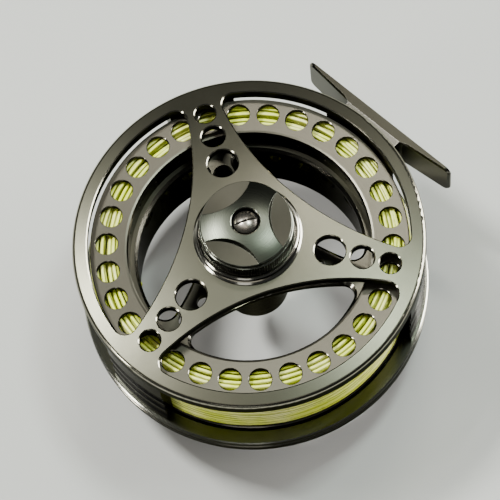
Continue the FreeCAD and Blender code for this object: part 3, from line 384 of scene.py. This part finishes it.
M = {
    "plate": satin("plate_titanium_satin", (0.0688, 0.0663, 0.0508), rough=0.29, aniso=0.12, grain=1.0, chamfer=5.0, upright_shade=0.93),
    # painted shade: the pillars and foot bridge are painted far darker than the plate, a painted dark reflection on
    # gloss metal
    "pillar": satin("pillar_gloss_painted_shade", (0.0226, 0.0218, 0.0190), rough=0.20, grain=0.5, upright_shade=0.3, chamfer=1.5),
    "ring": satin("front_ring_turned", (0.0756, 0.0756, 0.0635), rough=0.24, turned=0.0035, aniso=0.45, grain=0.5, pitch=1300.0, chamfer=7.5),
    "foot": satin("foot_satin", (0.0220, 0.0209, 0.0163), rough=0.32, grain=0.9, upright_shade=0.0, chamfer=4.4, graze=0.9),
    "flange": satin("rear_flange_satin", (0.0737, 0.0682, 0.0552), rough=0.32, turned=0.0003, aniso=0.25, chamfer=4.3, upright_shade=0.85, dark_upright_shade=(0.030, 0.0368)),
    "spool": satin("spool_satin", (0.0664, 0.0633, 0.0500), rough=0.29, turned=0.0006, aniso=0.2, chamfer=4.3, upright_shade=0.85, dark_upright_shade=(0.030, 0.0362)),
    "hub": satin("hub_turned", (0.0703, 0.0679, 0.0562), rough=0.28, turned=0.0020, aniso=0.3, grain=0.5, chamfer=3.8),
    "knob": satin("knob_fine_turned", (0.0429, 0.0456, 0.0370), rough=0.30, turned=0.00008, aniso=0.35, grain=0.35, pitch=3600.0, chamfer=4.6,
                  upright_shade=0.25, graze=1.0, soft=0.00020, pocket_shade=(0.00428, 0.01405), blasted=(0.01236, (0.0295, 0.0278, 0.0222), 0.40)),
    "bezel": satin("bezel_polished", (0.1094, 0.1054, 0.0899), rough=0.17, turned=0.0003, aniso=0.3, grain=0.2, upright_shade=0.75, chamfer=4.2, graze=0.9),
    "steel": bright_steel("stainless", (0.31, 0.302, 0.283), 0.22),
    "screw": bright_steel("screw_steel", (0.28, 0.255, 0.222), 0.27, slot_shade=(0.0110, 0.01335)),
    "hard": dark_metal("hardened_black", (0.10, 0.095, 0.09)),
    "cup": dark_metal("housing_black_anodised", (0.022, 0.022, 0.023)),
    "carbon": carbon("carbon_friction"),
    "rubber": rubber("seal_rubber"),
    "grip": plastic_black("grip_acetal"),
    "line": coated_line("fly_line_coating", (1.0, 1.0, 0.34), (0.80, 0.90, 0.02), (0.25, 0.31, 0.01)),
    "backing": braid("backing_braid", (0.90, 0.97, 0.04), (0.46, 0.54, 0.01)),
}

WEARS = {
    "plate": ["frame_back_plate"],
    "pillar": ["frame_pillar_left", "frame_pillar_right", "frame_pillar_rear", "foot_bridge"],
    "ring": ["frame_front_ring"],
    "foot": ["reel_foot"],
    "flange": ["spool_rear_flange"],
    "spool": ["spool_body"],
    "hub": ["spool_hub", "spool_cap"],
    "knob": ["drag_knob"],
    "bezel": ["drag_bezel"],
    "screw": ["knob_screw", "handle_screw", "frame_screws", "foot_screws", "housing_screws"],
    "steel": ["spindle", "thrust_ring", "pressure_washer", "spring_washers", "drag_plate", "drag_rotor", "drive_sleeve",
              "one_way_clutch", "rear_bearing", "front_bearing", "retaining_clip", "handle_post", "pawl_post", "click_spring",
              "counterweight"],
    "hard": ["click_ratchet", "click_pawl"],
    "cup": ["drag_housing"],
    "carbon": ["friction_disc_upper", "friction_disc_lower"],
    "rubber": ["knob_seal"],
    "grip": ["handle_grip"],
    "line": ["fly_line"],
    "backing": ["line_backing", "line_knot"],
}
for key, names in WEARS.items():
    for n in names:
        o = NODES[n]
        if not o.material_slots:
            o.data.materials.append(M[key])
        for s in o.material_slots:
            s.material = M[key]


# ------------------------------------------------------------------ wound line
def tube(name, path, rad, sides, closed=False, ends=True):
    """A mesh tube along a list of points; rad may be one radius or one for each point."""
    n = len(path)
    rads = rad if isinstance(rad, (list, tuple)) else [rad] * n
    verts, faces = [], []
    up = None
    for i, p in enumerate(path):
        a = path[max(i - 1, 0)]
        b = path[min(i + 1, n - 1)]
        d = (b - a).normalized()
        if up is None:
            up = Vector((0, 0, 1)) if abs(d.z) < 0.9 else Vector((1, 0, 0))
        side = d.cross(up).normalized()
        up = side.cross(d).normalized()
        for k in range(sides):
            t = 2 * math.pi * k / sides
            verts.append(p + (side * math.cos(t) + up * math.sin(t)) * rads[i])
    for i in range(n - 1):
        for k in range(sides):
            k2 = (k + 1) % sides
            faces.append((i * sides + k, i * sides + k2, (i + 1) * sides + k2, (i + 1) * sides + k))
    if ends:
        faces.append(tuple(reversed(range(sides))))
        faces.append(tuple((n - 1) * sides + k for k in range(sides)))
    me = bpy.data.meshes.new(name)
    me.from_pydata([tuple(v) for v in verts], [], faces)
    me.polygons.foreach_set("use_smooth", [True] * len(me.polygons))
    me.update()
    ob = bpy.data.objects.new(name, me)
    scene.collection.objects.link(ob)
    return ob


def on_reel(r, a, z):
    """A point from its distance from the spool axis, its turn in radians and its height, in millimetres."""
    return Vector((AX + r * MM * math.cos(a), AY + r * MM * math.sin(a), AZ + z * MM))


def wave(rng, terms, low, high):
    """A smooth seeded wobble of unit size."""
    parts = [(rng.uniform(low, high), rng.uniform(0, 2 * math.pi), rng.uniform(0.5, 1.0)) for _ in range(terms)]
    norm = sum(p[2] for p in parts)
    return lambda t: sum(w * math.sin(f * t + ph) for f, ph, w in parts) / norm


def wind(r_in, r_out, z_top, z_low, dia, layers, pitch, seed, step_deg, wander_r, wander_z):
    """The path of a line wound in layers between the two flanges: each layer is one helix,
    and the next one goes back over it. The turns next to a flange climb to the next layer."""
    rng = random.Random(seed)
    half = dia / 2
    width = (z_top - z_low) - dia
    turns = max(3, int(width / pitch))
    pts = []
    a = rng.uniform(0, 2 * math.pi)
    step = math.radians(step_deg)
    for k in range(layers):
        r0 = r_in + half + k * (r_out - r_in - dia) / max(1, layers - 1)
        # the lay of this layer: its own number of turns and its own unevenness
        nt = turns - rng.choice((0, 0, 1, 2)) + rng.uniform(-0.3, 0.3)
        ripple, sway = wave(rng, 5, 0.11, 0.9), wave(rng, 6, 3.1, 8.7)
        drift, hop = wave(rng, 5, 0.13, 1.1), wave(rng, 5, 2.3, 6.9)
        start, end = (z_top - half, z_low + half) if k % 2 == 0 else (z_low + half, z_top - half)
        total = nt * 2 * math.pi
        count = int(total / step)
        for i in range(count):
            f = i / count
            t = a + i * step
            # dwell at each side: the line lies flat against the flange for a while
            g = 0.5 - 0.5 * math.cos(math.pi * f)
            g = 0.35 * g + 0.65 * f
            z = start + (end - start) * g
            z += wander_z * (drift(t) + 0.6 * hop(t))
            z = min(z_top - half, max(z_low + half, z))
            r = r0 + wander_r * (ripple(t) + 1.1 * sway(t))
            climb = max(0.0, (f - 0.955) / 0.045)
            if k < layers - 1:
                r += (r_out - r_in - dia) / max(1, layers - 1) * climb * climb * (3 - 2 * climb)
            r = min(r_out - half, max(r_in + half, r))
            pts.append(on_reel(r, t, z))
        a += count * step
    return pts


flange_lo = (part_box("fly_line")[0].z - AZ) / MM
flange_hi = (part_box("fly_line")[1].z - AZ) / MM
LINE = 1.30
path = wind(40.25, 48.05, flange_hi, flange_lo, LINE, 5, 1.33, 11, 4.0, 0.42, 0.75)
line = tube("line_winding", path, LINE / 2 * MM, 8)
line.data.materials.append(M["line"])
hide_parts("fly_line")
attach(line, "spool")

path = wind(38.28, 40.15, flange_hi - 0.2, flange_lo, 0.72, 3, 0.70, 5, 6.0, 0.05, 0.12)
backing = tube("backing_winding", path, 0.36 * MM, 6)
backing.data.materials.append(M["backing"])
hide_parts("line_backing")
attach(backing, "spool")

# ------------------------------------------------------------------ floor and light
lowest = CAD_BOX[0].z


def light(name, d, dist, size, size_y, watts, color):
    """An area light in the direction d (right, up, towards the camera), pointed at the reel."""
    d = (CX * d[0] + CY * d[1] + CZ * d[2]).normalized()
    data = bpy.data.lights.new(name, "AREA")
    data.shape = "RECTANGLE"
    data.size, data.size_y = size, size_y
    data.energy = watts
    data.color = color
    ob = bpy.data.objects.new(name, data)
    scene.collection.objects.link(ob)
    target = Vector((0, AY, AZ))
    ob.location = target + d * dist
    ob.rotation_mode = "QUATERNION"
    ob.rotation_quaternion = (-d).to_track_quat("-Z", "Y")
    return ob


light("key_box", (-0.17, 0.18, 0.97), 1.0, 0.48, 0.26, 1, (1.0, 0.95, 0.84))
light("top_box", (0.05, 0.73, 0.68), 1.0, 0.24, 0.07, 3.11, (1.0, 0.97, 0.89))
light("left_box", (-0.50, 0.51, 0.70), 0.9, 0.16, 0.13, 12.2, (0.98, 1.0, 0.93))
light("right_box", (0.20, 0.52, 0.83), 0.9, 0.12, 0.13, 4.89, (0.86, 1.0, 0.91))
light("front_strip", (-0.15, -0.74, 0.65), 0.9, 0.30, 0.10, 0.119, (1.0, 1.0, 0.97))
light("low_left", (-0.88, -0.34, 0.33), 0.9, 0.16, 0.26, 2.81, (1.0, 0.98, 0.92))
light("low_right", (0.915, 0.385, 0.07), 0.9, 0.64, 0.64, 17.8, (1.0, 0.99, 0.94))

world = bpy.data.worlds.new("world")
scene.world = world
world.use_nodes = True
world.node_tree.nodes["Background"].inputs[0].default_value = (0.80, 0.82, 0.84, 1.0)
world.node_tree.nodes["Background"].inputs[1].default_value = 0.05


def floor_material():
    t = Tree("pale_floor")
    cloud = t.noise(3.0, 3.0, 0.5)
    fine = t.noise(900.0, 2.0, 0.5)
    col = t.mix(cloud, (0.45, 0.45, 0.445), (0.50, 0.50, 0.495))
    return t.finish(col, t.math("ADD", 0.55, t.math("MULTIPLY", fine, 0.1)), 0.0, t.bump(fine, 0.00002, 0.3))


me = bpy.data.meshes.new("floor")
S = 6.0
me.from_pydata([(-S, -S, lowest), (S, -S, lowest), (S, S, lowest), (-S, S, lowest)], [], [(0, 1, 2, 3)])
floor = bpy.data.objects.new("floor", me)
scene.collection.objects.link(floor)
floor.data.materials.append(floor_material())
